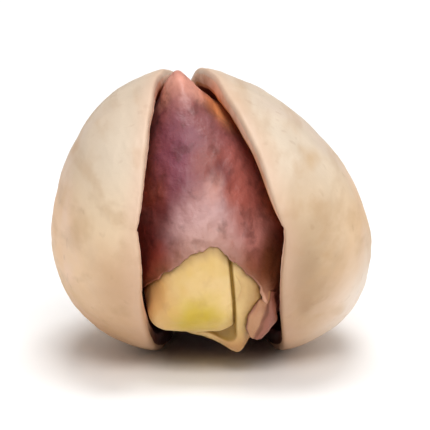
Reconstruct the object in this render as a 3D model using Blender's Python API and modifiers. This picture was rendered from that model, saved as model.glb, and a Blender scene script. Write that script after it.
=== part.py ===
"""A roasted pistachio in its split shell, lying on a table with its tip towards -Y.

Three pieces: the hard shell, whose two valves have sprung apart round the tip and are still grown
together at the stem end, the kernel of two seed leaves, and the papery skin that covers the kernel
and has worn away at its tip. Metres, +Z up. The long axis is Y and the split stands upright.

Places on the shell and the kernel are given by two angles: psi, from the tip at 0 to the stem end
at 180 degrees, and around, from the top at 0 towards +X.
"""

import math

import bmesh
import bpy
from mathutils import Matrix

# Shell, as if closed
SHELL_LENGTH = 0.0196
SHELL_HEIGHT = 0.0123
SHELL_THICKNESS = 0.0104
WALL = 0.00085
WALL_AT_STEM = 0.0016
WALL_THICKENS = (math.radians(125), math.radians(170))
EGG = 0.075
STEM_FULLNESS = 0.035
TIP_SHARPNESS = 0.16
TIP_SPREAD = math.radians(38)
TIP_RISE = 0.0013
TIP_RISE_SPREAD = math.radians(60)
SUTURE_KEEL = 0.00022
SUTURE_KEEL_SPREAD = 0.22

# How the nut came to rest: rolled a little to its left, on a worn flat on each lower edge
LEAN = 0.00052
LEAN_AT_TOP = 0.00050
REST_FLAT_DEPTH = 0.00020

# How far each valve's edge has moved from the middle, at the tip, and where each split ends
TIP_OPENING = 0.0034
TOP_SPLIT_END = math.radians(135)
UNDER_SPLIT_END = math.radians(145)
UNDER_CURVE = 2.1
UNDER_LEFT_EXTRA = 0.14
UNDER_LEFT_FULL = math.radians(70)

# Stem scar: a low ring round a pit
SCAR_RADIUS = 0.0015
SCAR_RISE_WIDTH = 0.0007
SCAR_HEIGHT = 0.00030
SCAR_PIT_DEPTH = 0.00075
SCAR_PIT_RADIUS = 0.00055

# Kernel, over its skin
KERNEL_FRONT = -0.0084
KERNEL_BACK = 0.0068
KERNEL_TOP = 0.0112
KERNEL_BOTTOM = 0.00085
KERNEL_HALF_WIDTH = 0.0042
KERNEL_MIDDLE = 0.0058
KERNEL_TIP_DROP = 0.0014
KERNEL_TIP_SIDE = -0.0004
KERNEL_TIP_SPREAD = math.radians(48)
BLUNT_SIDES = 0.28
BLUNT_UNDERSIDE = 0.35
BLUNT_SPREAD = math.radians(80)
CREST = 0.0018
CREST_WIDTH = 0.00052
CREST_SIDE = -0.00034
CREST_AT = math.radians(81)
CREST_LENGTH = math.radians(34)
CREST_LOSS_UNDER_SKIN = 2.2
SKIN = 0.00035
SKIN_TO_FLESH = 0.00030

# The cleft between the two seed leaves, open at the tip
CLEFT = 0.00030
CLEFT_SIDE = 0.0005
CLEFT_END = 0.0035

# Bare tip: the angle from the kernel's tip back to the skin's worn edge, above and below, and the
# tongue of skin that is left beside it
BARE_ABOVE = math.radians(15)
BARE_BELOW = math.radians(56)
BARE_CURVE = 1.15
BARE_WAVES = ((3, 0.03, 0.6), (8, 0.04, 0.0))
TONGUE = math.radians(17)
TONGUE_AT = math.radians(116)
TONGUE_SPREAD = math.radians(26)
BARE_MARGIN = math.radians(5)
BARE_INSET = 0.00005

# Facets from tip to stem and round the nut
SHELL_RINGS = 36
SHELL_SIDES = 48
KERNEL_RINGS = 26
KERNEL_SIDES = 34
BARE_RINGS = 7


def bell(value, width):
    """A smooth hump: 1 where value is 0, falling off over width."""
    return math.exp(-((value / width) ** 2))


def smooth_step(value):
    """0 up to 0, 1 from 1, with a smooth rise between."""
    value = min(max(value, 0.0), 1.0)
    return value * value * (3 - 2 * value)


def lean(z):
    """How far the nut leans to its left at a height."""
    up = z / (SHELL_HEIGHT / 2) - 1
    return -LEAN * up - LEAN_AT_TOP * max(up, 0.0) ** 2


def opening(psi, around, side):
    """How far a valve has moved sideways: widest at the tip, none where the halves are still joined."""
    top = TIP_OPENING * max(0.0, 1 - psi / TOP_SPLIT_END)
    under = TIP_OPENING * max(0.0, 1 - (psi / UNDER_SPLIT_END) ** UNDER_CURVE)
    if side < 0:
        under *= 1 + UNDER_LEFT_EXTRA * smooth_step(psi / UNDER_LEFT_FULL)
    upward = 0.5 + 0.5 * math.cos(around)
    return side * (top * upward + under * (1 - upward))


def scar_relief(x, z, psi):
    """How far the stem end stands out along Y round the scar the stem left."""
    if psi < math.pi / 2:
        return 0.0
    distance = math.hypot(x, z - SHELL_HEIGHT / 2)
    ring = SCAR_HEIGHT * smooth_step((SCAR_RADIUS - distance) / SCAR_RISE_WIDTH + 1)
    return ring - SCAR_PIT_DEPTH * bell(distance, SCAR_PIT_RADIUS)


def shell_point(psi, around, side):
    """The shell's outer surface: an egg, pointed at the tip, with each valve moved out to its side."""
    reach = math.sin(psi) * (1 - STEM_FULLNESS * math.cos(psi))
    reach *= 1 - TIP_SHARPNESS * bell(psi, TIP_SPREAD)
    x = SHELL_THICKNESS / 2 * reach * math.sin(around) * (1 - EGG * math.cos(around))
    y = -SHELL_LENGTH / 2 * math.cos(psi)
    keel = SUTURE_KEEL * math.sin(psi) * bell(math.sin(around), SUTURE_KEEL_SPREAD)
    middle = SHELL_HEIGHT / 2 + TIP_RISE * bell(psi, TIP_RISE_SPREAD)
    z = middle + (SHELL_HEIGHT / 2 * reach + keel) * math.cos(around)
    x += opening(psi, around, side) + lean(z)
    return x, y + scar_relief(x, z, psi), z


def kernel_point(psi, around, inset):
    """The kernel's surface, inset under its skin: blunt at the tip, with a crest along the top."""
    front, back = KERNEL_FRONT + inset, KERNEL_BACK - inset
    y = (front + back) / 2 - (back - front) / 2 * math.cos(psi)
    blunt = bell(psi, BLUNT_SPREAD)
    tip = bell(psi, KERNEL_TIP_SPREAD)
    middle = KERNEL_MIDDLE - KERNEL_TIP_DROP * tip
    sideways = math.sin(psi) ** (1 - BLUNT_SIDES * blunt)
    x = KERNEL_TIP_SIDE * tip + (KERNEL_HALF_WIDTH - inset) * sideways * math.sin(around)
    if math.cos(around) > 0:
        z = middle + (KERNEL_TOP - inset - middle) * math.sin(psi) * math.cos(around)
        crest = (CREST - CREST_LOSS_UNDER_SKIN * inset) * bell(psi - CREST_AT, CREST_LENGTH)
        z += crest * math.cos(around) ** 2 / (1 + ((x - CREST_SIDE) / CREST_WIDTH) ** 2)
    else:
        downward = math.sin(psi) ** (1 - BLUNT_UNDERSIDE * blunt)
        z = middle + (middle - KERNEL_BOTTOM - inset) * downward * math.cos(around)
    return x + lean(z), y, z


def bare_edge(around):
    """How far from the tip, as an angle, the worn edge of the skin lies."""
    down = 0.5 - 0.5 * math.cos(around)
    edge = BARE_ABOVE + (BARE_BELOW - BARE_ABOVE) * down ** BARE_CURVE
    edge *= 1 + sum(size * math.sin(count * around + start) for count, size, start in BARE_WAVES)
    off = math.atan2(math.sin(around - TONGUE_AT), math.cos(around - TONGUE_AT))
    return edge - TONGUE * bell(off, TONGUE_SPREAD)


def ball(rings, sides):
    """A unit sphere whose poles lie on the Y axis."""
    mesh = bmesh.new()
    laid_down = Matrix.Rotation(math.radians(90), 4, "X")
    bmesh.ops.create_uvsphere(mesh, u_segments=sides, v_segments=rings, radius=1, matrix=laid_down)
    return mesh


def angles(place):
    """psi and around of a place on the unit sphere."""
    return math.acos(max(-1.0, min(1.0, -place.y))), math.atan2(place.x, place.z)


def make_material(name, colour, roughness):
    material = bpy.data.materials.new(name)
    material.use_nodes = True
    shader = material.node_tree.nodes["Principled BSDF"]
    shader.inputs["Base Color"].default_value = (*colour, 1)
    shader.inputs["Roughness"].default_value = roughness
    shader.inputs["Metallic"].default_value = 0.0
    return material


def make_object(name, mesh, material, collection):
    """Turns a bmesh into a named object with its faces pointing out."""
    bmesh.ops.recalc_face_normals(mesh, faces=mesh.faces[:])
    data = bpy.data.meshes.new(name)
    mesh.to_mesh(data)
    mesh.free()
    data.materials.append(material)
    data.shade_smooth()
    made = bpy.data.objects.new(name, data)
    collection.objects.link(made)
    return made


def add_wall(made, thickness):
    """Gives an open surface its wall, inwards, and closes its edges."""
    wall = made.modifiers.new("Wall", "SOLIDIFY")
    wall.thickness = thickness
    wall.offset = -1
    wall.use_even_offset = True
    wall.use_rim = True
    return wall


def slit_along_split(mesh):
    """Parts the surface along the split: from the tip over the top, and from the tip underneath."""
    slit = []
    for edge in mesh.edges:
        first, second = edge.verts
        limit = TOP_SPLIT_END if first.co.z + second.co.z > 0 else UNDER_SPLIT_END
        on_split = abs(first.co.x) < 1e-5 and abs(second.co.x) < 1e-5
        if on_split and max(angles(first.co)[0], angles(second.co)[0]) < limit + 1e-4:
            slit.append(edge)
    bmesh.ops.split_edges(mesh, edges=slit)


def valve_side(vert):
    """-1 on the left valve, 1 on the right, 0 on the line where both are still joined."""
    lean_of_faces = sum(face.calc_center_median().x for face in vert.link_faces)
    return 0 if abs(lean_of_faces) < 1e-6 else math.copysign(1, lean_of_faces)


def make_shell(collection):
    """Both valves as one surface, slit open, then given a wall that is thicker at the stem end."""
    mesh = ball(SHELL_RINGS, SHELL_SIDES)
    slit_along_split(mesh)
    along = {vert: angles(vert.co) for vert in mesh.verts}
    places = {vert: shell_point(*along[vert], valve_side(vert)) for vert in mesh.verts}
    floor = min(place[2] for place in places.values()) + REST_FLAT_DEPTH
    walls = []
    for vert, (x, y, z) in places.items():
        vert.co = (x, y, max(z, floor) - floor)
        start, end = WALL_THICKENS
        share = smooth_step((along[vert][0] - start) / (end - start))
        walls.append(WALL + (WALL_AT_STEM - WALL) * share)
    shell = make_object("shell", mesh, make_material("shell", (0.76, 0.60, 0.42), 0.45), collection)
    group = shell.vertex_groups.new(name="wall")
    for index, wall in enumerate(walls):
        group.add([index], wall / WALL_AT_STEM, "REPLACE")
    add_wall(shell, WALL_AT_STEM).vertex_group = group.name


def make_skin(collection):
    """The papery skin: the kernel's surface, open at the worn tip."""
    mesh = ball(KERNEL_RINGS, KERNEL_SIDES)
    first = 2 * math.pi / KERNEL_RINGS
    worn = [vert for vert in mesh.verts if angles(vert.co)[0] < first - 1e-3]
    bmesh.ops.delete(mesh, geom=worn, context="VERTS")
    for vert in mesh.verts:
        psi, around = angles(vert.co)
        share = (psi - first) / (math.pi - first)
        edge = bare_edge(around)
        vert.co = kernel_point(edge + (math.pi - edge) * share, around, 0.0)
    material = make_material("kernel_skin", (0.24, 0.07, 0.055), 0.55)
    add_wall(make_object("kernel_skin", mesh, material, collection), SKIN)


def make_kernel(collection, cutters):
    """The two seed leaves, cleft from the tip and joined at the back, their bare tip flush with the skin."""
    mesh = ball(KERNEL_RINGS, KERNEL_SIDES)
    ring = math.pi / KERNEL_RINGS
    bare_end = ring * BARE_RINGS
    for vert in mesh.verts:
        psi, around = angles(vert.co)
        edge = bare_edge(around) - BARE_MARGIN
        if psi < bare_end + ring / 2:
            vert.co = kernel_point(edge * psi / bare_end, around, BARE_INSET)
        else:
            share = (psi - bare_end - ring) / (math.pi - bare_end - ring)
            start = edge + BARE_MARGIN / 2
            vert.co = kernel_point(start + (math.pi - start) * share, around, SKIN + SKIN_TO_FLESH)
    kernel = make_object("kernel", mesh, make_material("kernel", (0.62, 0.50, 0.13), 0.5), collection)
    cut = kernel.modifiers.new("Cleft", "BOOLEAN")
    cut.operation = "DIFFERENCE"
    cut.object = make_cleft_cutter(cutters)


def make_cleft_cutter(cutters):
    """A thin upright blade from well in front of the kernel's tip to where the cleft ends."""
    length = CLEFT_END + SHELL_LENGTH / 2
    blade = bmesh.new()
    size = Matrix.Diagonal((CLEFT, length, 2 * SHELL_HEIGHT, 1))
    bmesh.ops.create_cube(blade, size=1, matrix=size)
    cutter = make_object("cleft", blade, make_material("cleft", (1, 1, 1), 0.5), cutters)
    cutter.location = (CLEFT_SIDE, CLEFT_END - length / 2, SHELL_HEIGHT / 2)
    cutter.rotation_euler = (0, -math.atan(LEAN * 2 / SHELL_HEIGHT), 0)
    cutter.hide_render = True
    cutter.display_type = "WIRE"
    return cutter


def main():
    for old in list(bpy.data.objects):
        bpy.data.objects.remove(old)
    nut = bpy.data.collections.new("pistachio")
    cutters = bpy.data.collections.new("cutters")
    bpy.context.scene.collection.children.link(nut)
    bpy.context.scene.collection.children.link(cutters)
    make_shell(nut)
    make_skin(nut)
    make_kernel(nut, cutters)


main()
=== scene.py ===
"""Looks of a roasted pistachio that lies in its split shell, open tip towards -Y.

Places on the shell and the kernel are given by two angles: psi, from the tip at 0 to the stem end
at 180 degrees, and around, from the top at 0 towards +X.
"""

import bmesh
import bpy
import numpy as np
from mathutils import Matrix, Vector


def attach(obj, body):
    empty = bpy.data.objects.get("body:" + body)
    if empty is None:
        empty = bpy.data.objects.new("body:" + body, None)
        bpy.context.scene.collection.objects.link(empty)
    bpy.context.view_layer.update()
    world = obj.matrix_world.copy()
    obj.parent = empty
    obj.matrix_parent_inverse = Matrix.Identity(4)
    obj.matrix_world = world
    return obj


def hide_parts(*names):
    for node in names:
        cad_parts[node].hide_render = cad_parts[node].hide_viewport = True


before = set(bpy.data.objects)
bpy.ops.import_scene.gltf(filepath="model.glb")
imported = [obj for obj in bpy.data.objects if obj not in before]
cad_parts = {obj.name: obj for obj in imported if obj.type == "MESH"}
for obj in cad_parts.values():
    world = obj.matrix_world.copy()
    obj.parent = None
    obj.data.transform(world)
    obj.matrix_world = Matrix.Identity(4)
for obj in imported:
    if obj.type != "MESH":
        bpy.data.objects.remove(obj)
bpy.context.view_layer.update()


# Shell
# Two hard valves that grew as one and sprang apart round the tip as the nut ripened. They are still
# joined at the stem end, where the stem broke off and left a ragged scar round a pit. The outside
# is smooth, dry and faintly lumpy, cream with tan blotches, and the lining inside is orange brown.

SHELL_LENGTH = 0.0196
SHELL_HEIGHT = 0.0123
SHELL_THICKNESS = 0.0104
EGG = 0.075
STEM_FULLNESS = 0.035
TIP_SHARPNESS = 0.16
TIP_SPREAD = np.radians(38)
TIP_RISE = 0.0013
TIP_RISE_SPREAD = np.radians(60)
SUTURE_KEEL = 0.00022
SUTURE_KEEL_SPREAD = 0.22
LEAN = 0.00052
LEAN_AT_TOP = 0.00050
REST_FLAT_DEPTH = 0.00020

WALL = 0.00085
WALL_AT_STEM = 0.0016
WALL_THICKENS = np.radians((125, 170))
WALL_UNEVEN = 0.06
WALL_WAVE = 0.004

TIP_OPENING = 0.0034
TOP_SPLIT_END = np.radians(135)
UNDER_SPLIT_END = np.radians(145)
UNDER_CURVE = 2.1
UNDER_LEFT_EXTRA = 0.14
UNDER_LEFT_FULL = np.radians(70)
LEFT_TIP_OUT = 0.00015
LEFT_TIP_SPREAD = np.radians(55)
RIGHT_TIP_IN = 0.00040
RIGHT_TIP_SPREAD = np.radians(28)
RIGHT_UNDER_IN = 0.00062
RIGHT_UNDER_FROM = np.radians(25)
RIGHT_UNDER_TO = np.radians((32, 78))

SCAR_RADIUS = 0.0015
SCAR_SIDE = 0.00008
SCAR_RISE_WIDTH = 0.0007
SCAR_HEIGHT = 0.00030
SCAR_CRUMBS = 0.00007
SCAR_CRUMB_SIZE = 0.0007
SCAR_CRUMBS_FADE = 0.0004
SCAR_PIT_DEPTH = 0.00075
SCAR_PIT_RADIUS = 0.00055
SCAR_PIT_SIDE = 0.00015
SCAR_PIT_DROP = 0.0001
SCAR_STAIN_RADIUS = 1.25 * SCAR_RADIUS
SCAR_STAIN_FADE = 0.0005
PIT_STAIN_RADIUS = 1.1 * SCAR_PIT_RADIUS
PIT_STAIN_FADE = 0.0003
# Each wave round the scar's outline: how many there are, how high as a share, and where they start
SCAR_OUTLINE = ((3, 0.10, 1.0), (7, 0.06, 0.0), (13, 0.04, 2.0))

SHELL_ROWS = 216
VALVE_COLUMNS = 104
EDGE_COLUMNS = 6
EVEN_COLUMNS = 0.4
EDGE_DISTANCE = 0.0056
EDGE_ROUND_OUT = 0.00022
EDGE_ROUND_IN = 0.00014
EDGE_WANDER = 0.00003
EDGE_WANDER_WAVE = 0.0060
EDGE_WANDER_WIDTH = 0.0009
EDGE_BULGE = 0.00003
EDGE_CRUMBS = 0.000010
EDGE_CRUMB_SIZE = 0.0006
EDGE_STAIN_AND_LIGHT_WIDTH = 0.0008
SPLIT_CLOSES_OVER = np.radians(14)
SEAM_GROOVE = 0.25
GROOVE_BEGINS_OVER = np.radians(9)
GROOVE_BEGINS_LATE = 0.6
ANGLE_MARGIN = 1e-6
MERGE_WITHIN = 1e-8

# Unevenness of the outside: its height, longest wave, squeeze along Y and seed
SHELL_RELIEF = ((0.000038, 0.0070, 1.0, 11), (0.000009, 0.0021, 1.0, 12), (0.000010, 0.0011, 0.22, 13))
SMOOTH_AT_TIP = np.radians(12)
SMOOTH_AT_STEM = np.radians(8)

# Colours as they look on a screen
CREAM = (232, 204, 169)
TAN = (215, 179, 138)
BESIDE_EDGE = (216, 178, 152)
SCAR_PALE = (222, 194, 158)
SCAR_BROWN = (182, 142, 102)
PIT_BROWN = (96, 62, 40)
EDGE_PALE = (238, 196, 168)
EDGE_TAN = (214, 162, 128)
LINING_ORANGE = (196, 110, 54)
LINING_BROWN = (158, 80, 36)
# The lining paler towards the split edge, where light reaches in: painted light
LINING_PAINTED_LIGHT_AT_EDGE = (226, 164, 112)

# Painted shade by height above the table: colour, strength, and where none and all of it is
# Tan towards the underside, which faces away from the light: painted shade
LOW_FLANK_PAINTED_SHADE = ((220, 178, 138), 0.55, 0.0085, 0.0005)
# A greyer top that holds down the light from above: painted shade
HIGH_FLANK_PAINTED_SHADE = ((205, 193, 178), 0.65, 0.0068, 0.0105)
# The split's edges dark brown near the table, where they lie in shade: painted shade
EDGE_PAINTED_SHADE = ((84, 34, 14), 1.0, 0.0030, 0.0014)
# The lining dark red brown near the table, where it lies in shade: painted shade
LINING_PAINTED_SHADE = ((92, 24, 6), 1.0, 0.0038, 0.0018)

SPOT_OUTLINE_SCALE = 700.0
SPOT_FULL_WITHIN = 0.2
SHELL_GRAIN = (1.0, 0.12, 1.0)
# Tints in the order they lie in: colour and strength, then the centre, the reach and perhaps the
# wander of one patch, or for many blotches their size, low, high, stretch, shift and detail
FLANK_BLUSH_AND_PAINTED_LIGHT = (
    # Painted shade low on the left, painted light on the far left and the low right; the blush is the
    # shell's own
    ((192, 147, 102), 0.80, (-0.0060, -0.0030, 0.0012), (0.0050, 0.0080, 0.0036)),  # low left
    ((244, 196, 148), 0.60, (-0.0080, -0.0030, 0.0062), (0.0034, 0.0090, 0.0050)),  # far left
    ((231, 215, 199), 0.90, (0.0070, -0.0030, 0.0022), (0.0044, 0.0090, 0.0050)),  # low right
    ((240, 204, 182), 0.55, 0.0048, 0.46, 0.70, (1, 1, 1), 0.03),  # a faint blush
)
STAINS_AND_PAINTED_SHADE = (
    # The first two rows are painted shade on both valves beside the mouth; the rest are stains, streaks and
    # specks
    ((166, 135, 100), 0.95, (0.0034, -0.0072, 0.0056), (0.0029, 0.0060, 0.0050)),  # right valve
    ((194, 154, 116), 0.75, (-0.0042, -0.0078, 0.0048), (0.0024, 0.0034, 0.0030)),  # left valve
    ((160, 120, 78), 0.60, (0.0039, -0.0066, 0.0036), (0.0006, 0.0020, 0.0012), 0.0006),  # small
    ((196, 154, 96), 0.60, (-0.0062, -0.0040, 0.0038), (0.0013, 0.0035, 0.0012)),  # left streak
    ((196, 158, 112), 0.55, 0.0026, 0.54, 0.74, (1, 0.45, 1), 0.05),  # tan blotches
    ((182, 142, 98), 0.32, 0.0011, 0.50, 0.72, SHELL_GRAIN, 0.02),  # lengthwise streaks
    ((150, 106, 68), 0.16, 0.0006, 0.66, 0.78, (1, 1, 1), 0.07, 1.0),  # brown specks
)


def bell(value, width):
    """A smooth hump: 1 where value is 0, falling off over width."""
    return np.exp(-((value / width) ** 2))


def smooth_step(value):
    """0 up to 0, 1 from 1, with a smooth rise between."""
    value = np.clip(value, 0.0, 1.0)
    return value * value * (3 - 2 * value)


def waves(places, longest, seed, count=16):
    """Rolling unevenness round 0: sine waves in random directions, added up, from longest down to
    a third of it."""
    draw = np.random.default_rng(seed)
    directions = draw.normal(size=(count, 3))
    directions /= np.linalg.norm(directions, axis=1, keepdims=True)
    lengths = longest * draw.uniform(0.33, 1.0, count)
    starts = draw.uniform(0, 2 * np.pi, count)
    total = np.zeros(places.shape[:-1])
    for direction, length, start in zip(directions, lengths, starts):
        total += np.sin(2 * np.pi * (places @ direction) / length + start)
    return total / np.sqrt(count)


def uneven(places, rows):
    """Unevenness in metres: for each row its height times its waves, added up."""
    total = 0.0
    for height, longest, squeeze, seed in rows:
        total = total + height * waves(places * np.array([1.0, squeeze, 1.0]), longest, seed)
    return total


def ragged(turn, rows):
    """An outline's radius as a share: 1, plus for each row a number of sine waves round it."""
    return 1 + sum(size * np.sin(count * turn + start) for count, size, start in rows)


def lean(z):
    """How far the nut leans to its left at a height: in proportion to it, and more near the top."""
    up = z / (SHELL_HEIGHT / 2) - 1
    return -LEAN * up - LEAN_AT_TOP * np.maximum(up, 0.0) ** 2


def opening(psi, around, side):
    """How far a valve has moved sideways: widest at the tip, none where the halves are joined."""
    top = TIP_OPENING * np.maximum(0.0, 1 - psi / TOP_SPLIT_END)
    under = TIP_OPENING * np.maximum(0.0, 1 - (psi / UNDER_SPLIT_END) ** UNDER_CURVE)
    upward = 0.5 + 0.5 * np.cos(around)
    if side < 0:
        under = under * (1 + UNDER_LEFT_EXTRA * smooth_step(psi / UNDER_LEFT_FULL))
        return -(top * upward + under * (1 - upward) + LEFT_TIP_OUT * bell(psi, LEFT_TIP_SPREAD))
    start, end = RIGHT_UNDER_TO
    below = smooth_step(psi / RIGHT_UNDER_FROM) * smooth_step((end - psi) / (end - start))
    below = below * (1 - upward) ** 3
    inward = RIGHT_TIP_IN * bell(psi, RIGHT_TIP_SPREAD) * (1 - below) + RIGHT_UNDER_IN * below
    return top * upward + under * (1 - upward) - inward


def shell_reach(psi):
    """The shell's radius at psi, as a share: a sine, fuller to the stem and drawn in at the tip."""
    reach = np.sin(psi) * (1 - STEM_FULLNESS * np.cos(psi))
    return reach * (1 - TIP_SHARPNESS * bell(psi, TIP_SPREAD))


def shell_surface(psi, around, side):
    """The outside of a valve: an egg with a low keel at the suture, moved out to its side."""
    reach = shell_reach(psi)
    x = SHELL_THICKNESS / 2 * reach * np.sin(around) * (1 - EGG * np.cos(around))
    y = -SHELL_LENGTH / 2 * np.cos(psi)
    keel = SUTURE_KEEL * np.sin(psi) * bell(np.sin(around), SUTURE_KEEL_SPREAD)
    middle = SHELL_HEIGHT / 2 + TIP_RISE * bell(psi, TIP_RISE_SPREAD)
    z = middle + (SHELL_HEIGHT / 2 * reach + keel) * np.cos(around)
    x = x + opening(psi, around, side) + lean(z)
    return np.stack([x, y + 0 * x, z], axis=-1)


def outward_normals(places, middle):
    """Unit normals of a grid of places: at right angles to its rows and columns, away from middle."""
    along = np.gradient(places, axis=0)
    across = np.gradient(places, axis=1)
    normals = np.cross(along, across)
    normals[0], normals[-1] = normals[1].mean(axis=0), normals[-2].mean(axis=0)
    normals /= np.linalg.norm(normals, axis=-1, keepdims=True)
    facing = np.sum(normals * (places - middle), axis=-1).mean()
    return normals * np.sign(facing)


def scar_relief(places, psi):
    """The stem's scar, as a height along Y: a ring with a ragged outline and a crumbly top, round an
    off-centre pit."""
    across = places[..., 0] - SCAR_SIDE
    up = places[..., 2] - SHELL_HEIGHT / 2
    outline = SCAR_RADIUS * ragged(np.arctan2(up, across), SCAR_OUTLINE)
    within = outline - np.hypot(across, up)
    ring = SCAR_HEIGHT * smooth_step(within / SCAR_RISE_WIDTH + 1)
    crumbs = SCAR_CRUMBS * waves(places, SCAR_CRUMB_SIZE, seed=41) * smooth_step(within / SCAR_CRUMBS_FADE)
    from_pit = np.hypot(across - SCAR_PIT_SIDE, up + SCAR_PIT_DROP)
    pit = SCAR_PIT_DEPTH * bell(from_pit, SCAR_PIT_RADIUS)
    return np.where(psi > np.pi / 2, ring + crumbs - pit, 0.0)


def valve(side):
    """One valve as closed rings of places, from tip to stem: over its outside from top to underside,
    round the lower edge, back along its inside and round the top edge. The inside is the outside
    moved inwards by the wall. Also how far each place is towards the lining, 0 to 1, and how near a
    split edge, 0 to 1."""
    share = np.linspace(0, 1, VALVE_COLUMNS)
    crowded = 0.5 - 0.5 * np.cos(np.pi * share)
    turn = np.pi * (EVEN_COLUMNS * share + (1 - EVEN_COLUMNS) * crowded)
    psi, around = np.meshgrid(np.linspace(0, np.pi, SHELL_ROWS), side * turn, indexing="ij")
    smooth = shell_surface(psi, around, side)
    normals = outward_normals(smooth, np.array([side * 0.001, 0, SHELL_HEIGHT / 2]))

    to_edge = EDGE_DISTANCE * shell_reach(psi) * np.abs(np.sin(around))
    split_end = np.where(np.cos(around) > 0, TOP_SPLIT_END, UNDER_SPLIT_END)
    parted = smooth_step((split_end - psi) / SPLIT_CLOSES_OVER)
    wander = EDGE_WANDER * waves(smooth, EDGE_WANDER_WAVE, seed=5 + side)
    smooth[..., 0] += side * wander * bell(to_edge, EDGE_WANDER_WIDTH) * parted

    full = smooth_step((split_end - psi) / GROOVE_BEGINS_OVER + GROOVE_BEGINS_LATE)
    rounded = SEAM_GROOVE + (1 - SEAM_GROOVE) * full

    def rounding(radius):
        """How far the surface drops towards an edge: a quarter circle, shallower along the seam."""
        near = np.clip(1 - to_edge / radius, 0, 1)
        return radius * (1 - np.sqrt(1 - near**2)) * rounded

    relief = uneven(smooth, SHELL_RELIEF)
    relief *= smooth_step(psi / SMOOTH_AT_TIP) * smooth_step((np.pi - psi) / SMOOTH_AT_STEM)
    outside = smooth + normals * (relief - rounding(EDGE_ROUND_OUT))[..., None]
    outside[..., 1] += scar_relief(smooth, psi)

    start, end = WALL_THICKENS
    wall = WALL + (WALL_AT_STEM - WALL) * smooth_step((psi - start) / (end - start))
    wall = wall * (1 + WALL_UNEVEN * waves(smooth, WALL_WAVE, seed=14)) - rounding(EDGE_ROUND_IN)
    inside = smooth - normals * wall[..., None]

    step = np.linspace(0, 1, EDGE_COLUMNS + 2)[1:-1, None]
    lower = outside[:, -1, None] * (1 - step) + inside[:, -1, None] * step
    upper = inside[:, 0, None] * (1 - step) + outside[:, 0, None] * step
    edges = np.concatenate([lower, upper], axis=1)
    crumbs = EDGE_CRUMBS * waves(edges, EDGE_CRUMB_SIZE, seed=15 + side)
    bulge = EDGE_BULGE * np.tile(np.sin(np.pi * step[:, 0]), 2)
    off_the_ends = shell_reach(psi[:, :1]) > 0.02
    edges[..., 0] -= side * (bulge + crumbs) * off_the_ends
    lower, upper = edges[:, :EDGE_COLUMNS], edges[:, EDGE_COLUMNS:]
    places = np.concatenate([outside, lower, inside[:, ::-1], upper], axis=1)

    towards = np.ones((SHELL_ROWS, 1)) * step[:, 0]
    lining = np.concatenate([0 * psi, towards, 0 * psi + 1, 1 - towards], axis=1)
    near = bell(to_edge, EDGE_STAIN_AND_LIGHT_WIDTH) * parted
    strip = np.ones((1, EDGE_COLUMNS))
    near = np.concatenate([near, near[:, -1:] * strip, near[:, ::-1], near[:, :1] * strip], axis=1)
    return places, lining, near


def ring_faces(rows, columns, first):
    """Quads between neighbouring rings of a grid whose rings close on themselves."""
    row, column = np.meshgrid(np.arange(rows - 1), np.arange(columns), indexing="ij")
    after = (column + 1) % columns
    corners = [row * columns + column, row * columns + after]
    corners += [(row + 1) * columns + after, (row + 1) * columns + column]
    return np.stack(corners, axis=-1) + first


def closed_mesh(name, places, faces, values):
    """Puts places and faces in a mesh with named values on its places, merges what coincides, and
    turns the faces outwards."""
    mesh = bpy.data.meshes.new(name)
    mesh.from_pydata(places.reshape(-1, 3).tolist(), [], faces.reshape(-1, 4).tolist())
    for key, numbers in values.items():
        layer = mesh.attributes.new(key, "FLOAT", "POINT")
        layer.data.foreach_set("value", np.ravel(numbers).astype(np.float32))
    welded = bmesh.new()
    welded.from_mesh(mesh)
    bmesh.ops.remove_doubles(welded, verts=welded.verts[:], dist=MERGE_WITHIN)
    bmesh.ops.dissolve_degenerate(welded, edges=welded.edges[:], dist=MERGE_WITHIN)
    bmesh.ops.recalc_face_normals(welded, faces=welded.faces[:])
    welded.to_mesh(mesh)
    welded.free()
    mesh.shade_smooth()
    piece = bpy.data.objects.new(name, mesh)
    bpy.context.scene.collection.objects.link(piece)
    return piece


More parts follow.
